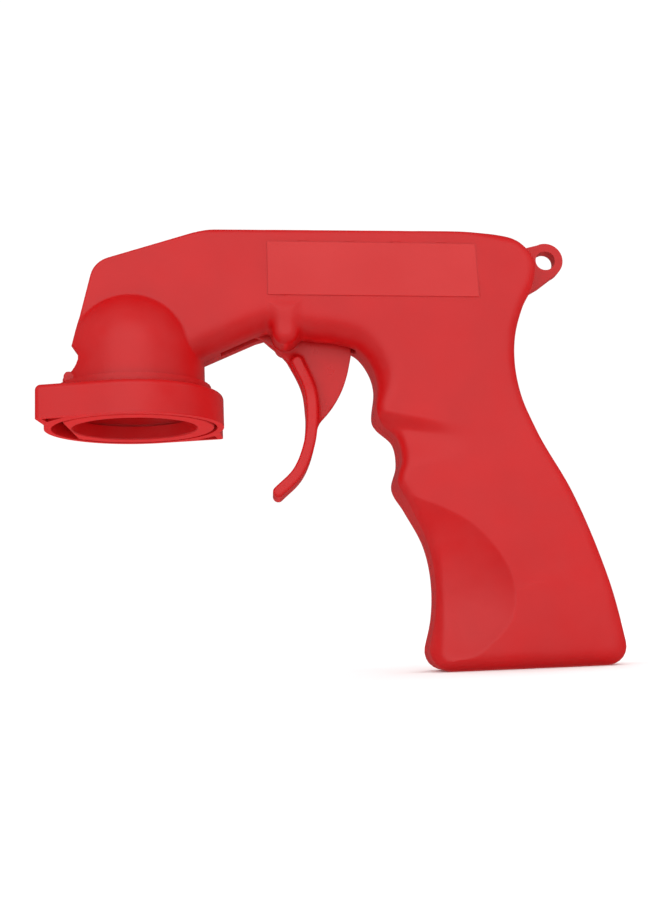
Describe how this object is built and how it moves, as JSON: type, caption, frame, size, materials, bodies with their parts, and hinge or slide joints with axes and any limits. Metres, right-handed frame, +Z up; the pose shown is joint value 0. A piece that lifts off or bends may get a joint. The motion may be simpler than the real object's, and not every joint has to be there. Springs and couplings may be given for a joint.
{
  "type": "spray can grip",
  "caption": "Pistol grip that clamps on an aerosol can's top and presses its nozzle with a hinged trigger",
  "frame": {"origin": "centre of the locking collar's mouth, where the can's shoulder enters", "axes": "+Z up along the can, +X back towards the hand so that the spray leaves towards -X, +Y to the user's right"},
  "size_m": [0.1847, 0.0584, 0.1462],
  "materials": {
    "shell_plastic": "red moulded polypropylene, fine satin texture",
    "trigger_plastic": "red moulded polypropylene, smooth",
    "label_film": "blank red gloss film",
    "pin_steel": "bright drawn steel",
    "spring_steel": "spring wire",
    "screw_steel": "zinc-plated steel"
  },
  "bodies": {
    "body": {"left_shell": "shell_plastic", "right_shell": "shell_plastic", "clip_ring": "shell_plastic", "lanyard_loop": "shell_plastic", "trigger_pin": "pin_steel", "return_spring": "spring_steel", "label_left": "label_film", "label_right": "label_film", "shell_screw_1": "screw_steel", "shell_screw_2": "screw_steel", "shell_screw_3": "screw_steel", "shell_screw_4": "screw_steel", "shell_screw_5": "screw_steel"},
    "trigger": {"trigger": "trigger_plastic"},
    "collar": {"locking_collar": "shell_plastic"}
  },
  "joints": [
    {"name": "trigger_pull", "type": "hinge", "parent": "body", "child": "trigger", "pos_m": [0.0503, 0, 0.0289], "axis": [0, -1, 0], "range_deg": [0, 12], "stiffness_Nm_per_rad": 0.25, "springref_deg": -14.32, "deforming": ["return_spring"]},
    {"name": "collar_twist", "type": "hinge", "parent": "body", "child": "collar", "pos_m": [0, 0, 0.005], "axis": [0, 0, 1], "range_deg": [0, 30]}
  ]
}
